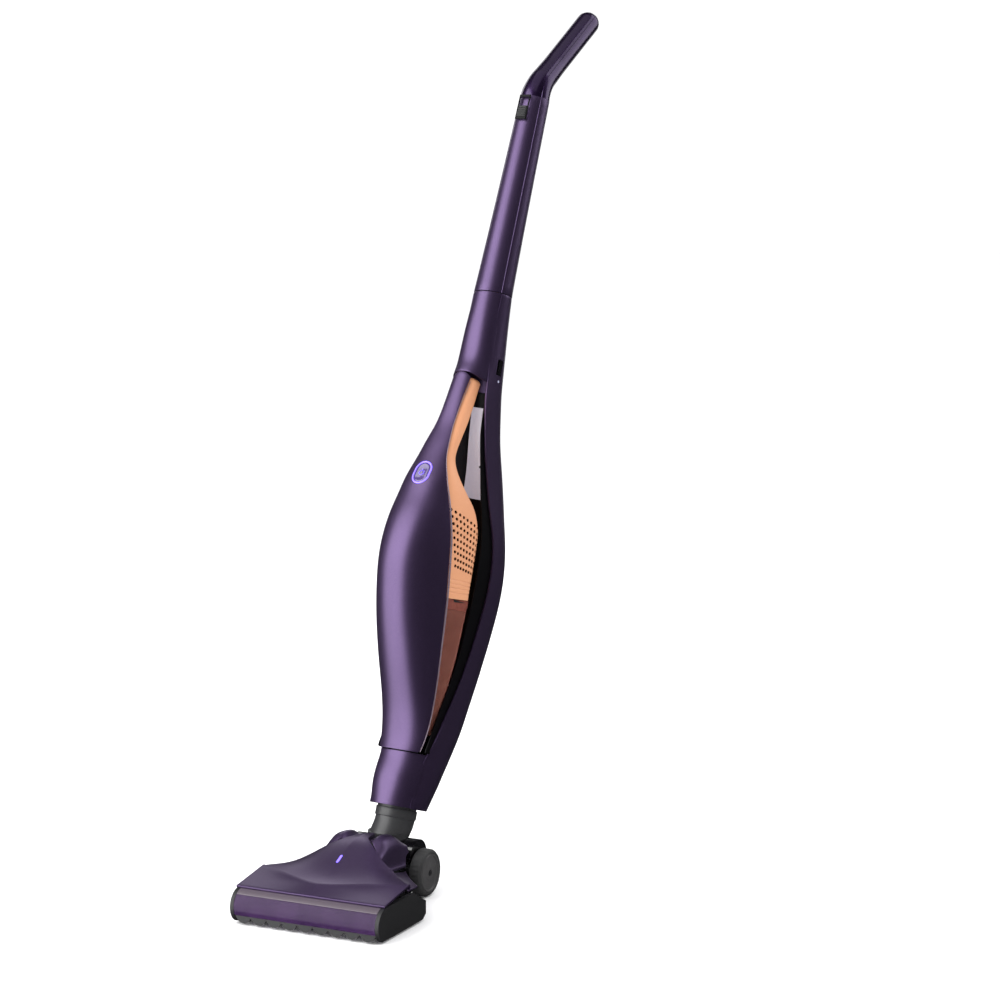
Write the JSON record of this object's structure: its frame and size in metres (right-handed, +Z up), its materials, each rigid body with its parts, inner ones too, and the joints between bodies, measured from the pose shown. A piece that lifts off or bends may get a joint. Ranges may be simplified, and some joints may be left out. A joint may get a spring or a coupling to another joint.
{
  "type": "cordless stick vacuum",
  "caption": "Cordless stick vacuum with a bent grip, a tip-out hand unit, a swivel elbow and a floor head with a driven brush roller.",
  "frame": {"origin": "on the floor, at the middle of the floor head's sole pad, between the wheels and the roller", "axes": "+Z up, -Y the way the head's roller faces, +X to the head's right seen from behind the roller looking back; the stick leans back 18 degrees and is turned 9 degrees"},
  "size_m": [0.205, 0.6767, 1.122],
  "materials": {
    "plum_gloss": "metallic plum lacquer, high gloss",
    "plum_dark": "dark plum lacquer, high gloss",
    "copper_shell": "copper lacquer, satin",
    "amber_clear": "tinted clear polycarbonate",
    "smoke_clear": "smoky clear polycarbonate",
    "lilac_trim": "pearl trim",
    "black_gloss": "gloss",
    "black_matte": "fine spark texture",
    "inner_plastic": "moulded",
    "button_glow": "lit light guide",
    "soft_rubber": "soft rubber",
    "wheel_tread": "soft rubber tread",
    "steel_pin": "turned",
    "fan_alloy": "cast",
    "contact_brass": "plated",
    "filter_fleece": "pleated fleece",
    "bristle_nylon": "nylon tufts",
    "sole_felt": "felt",
    "cell_wrap": "shrink wrap",
    "board_green": "solder mask",
    "copper_wire": "insulated leads"
  },
  "bodies": {
    "stick": {"handle_tube": "plum_gloss", "handle_grip": "plum_dark", "switch_bezel": "black_matte", "switch_module": "black_matte", "handle_wiring": "copper_wire", "shoulder_shell": "plum_gloss", "status_light": "button_glow", "spine_shell": "plum_gloss", "spine_liner": "black_gloss", "neck_collar": "plum_gloss", "neck_duct": "black_matte", "duct_seal": "soft_rubber", "charge_contacts": "contact_brass", "frame_screws": "steel_pin", "elbow_pipe": "black_matte", "swivel_ring": "black_matte"},
    "power_slider": {"power_slider": "black_matte"},
    "release_button": {"release_button": "black_matte"},
    "elbow": {"elbow_knuckle": "black_gloss"},
    "hand_unit": {"front_cover": "plum_gloss", "trim_left": "lilac_trim", "trim_right": "lilac_trim", "ring_light": "button_glow", "motor_housing": "copper_shell", "vent_grille_left": "copper_shell", "vent_grille_right": "copper_shell", "fan_motor": "steel_pin", "fan_shroud": "black_matte", "bin_bulkhead": "black_matte", "filter_cone": "filter_fleece", "filter_frame": "black_matte", "dust_bin": "amber_clear", "inlet_pipe": "black_matte", "battery_cells": "cell_wrap", "circuit_board": "board_green"},
    "power_button": {"power_button": "plum_dark"},
    "fan": {"motor_shaft": "steel_pin", "impeller": "fan_alloy"},
    "inlet_flap": {"inlet_flap": "soft_rubber"},
    "floor_head": {"head_cover": "plum_gloss", "base_plate": "black_matte", "head_chamber": "black_matte", "roller_window": "smoke_clear", "bumper_comb": "black_matte", "side_cap_left": "black_matte", "side_cap_right": "black_matte", "suction_duct": "inner_plastic", "brush_motor": "steel_pin", "drive_belt": "soft_rubber", "roller_bushes": "contact_brass", "pivot_housings": "black_gloss", "pivot_pins": "steel_pin", "wheel_axles": "steel_pin", "head_light": "button_glow", "sole_pads": "sole_felt"},
    "roller": {"roller_core": "inner_plastic", "roller_bristles": "bristle_nylon"},
    "motor_pulley": {"motor_pulley": "contact_brass"},
    "wheel_left": {"wheel_left": "wheel_tread"},
    "wheel_right": {"wheel_right": "wheel_tread"}
  },
  "joints": [
    {"name": "neck_swivel", "type": "hinge", "parent": "stick", "child": "elbow", "pos_m": [0, 0.068, 0.048], "axis": [0, 0, 1], "range_deg": [-54, 36]},
    {"name": "neck_pitch", "type": "hinge", "parent": "elbow", "child": "floor_head", "pos_m": [0, 0.068, 0.048], "axis": [1, 0, 0], "range_deg": [-18, 55]},
    {"name": "roller_spin", "type": "hinge", "parent": "floor_head", "child": "roller", "pos_m": [0, -0.122, 0.0205], "axis": [1, 0, 0], "continuous": true},
    {"name": "motor_pulley_spin", "type": "hinge", "parent": "floor_head", "child": "motor_pulley", "pos_m": [0, -0.078, 0.0225], "axis": [1, 0, 0], "continuous": true},
    {"name": "wheel_left_spin", "type": "hinge", "parent": "floor_head", "child": "wheel_left", "pos_m": [0, 0.068, 0.03], "axis": [1, 0, 0], "continuous": true},
    {"name": "wheel_right_spin", "type": "hinge", "parent": "floor_head", "child": "wheel_right", "pos_m": [0, 0.068, 0.03], "axis": [1, 0, 0], "continuous": true},
    {"name": "power_slide", "type": "slide", "parent": "stick", "child": "power_slider", "axis": [0.0579, 0.3658, 0.9289], "range_m": [0, 0.012]},
    {"name": "release_press", "type": "slide", "parent": "stick", "child": "release_button", "axis": [-0.9877, 0.1564, 0], "range_m": [0, 0.002], "stiffness_N_per_m": 500},
    {"name": "hand_unit_tip", "type": "hinge", "parent": "stick", "child": "hand_unit", "pos_m": [0.00227, 0.08231, 0.17998], "axis": [0.9877, -0.1564, 0], "range_deg": [0, 30]},
    {"name": "power_press", "type": "slide", "parent": "hand_unit", "child": "power_button", "axis": [0.1233, 0.7783, -0.6157], "range_m": [0, 0.0015], "stiffness_N_per_m": 600},
    {"name": "fan_spin", "type": "hinge", "parent": "hand_unit", "child": "fan", "pos_m": [0.01545, 0.16555, 0.3908], "axis": [0.0483, 0.3052, 0.9511], "continuous": true},
    {"name": "inlet_flap_swing", "type": "hinge", "parent": "hand_unit", "child": "inlet_flap", "pos_m": [0.01122, 0.13882, 0.22501], "axis": [-0.9877, 0.1564, 0], "range_deg": [0, 60], "stiffness_Nm_per_rad": 0.01}
  ],
  "couplings": [
    {"joint": "motor_pulley_spin", "follows": "roller_spin", "ratio": 1.6667}
  ]
}
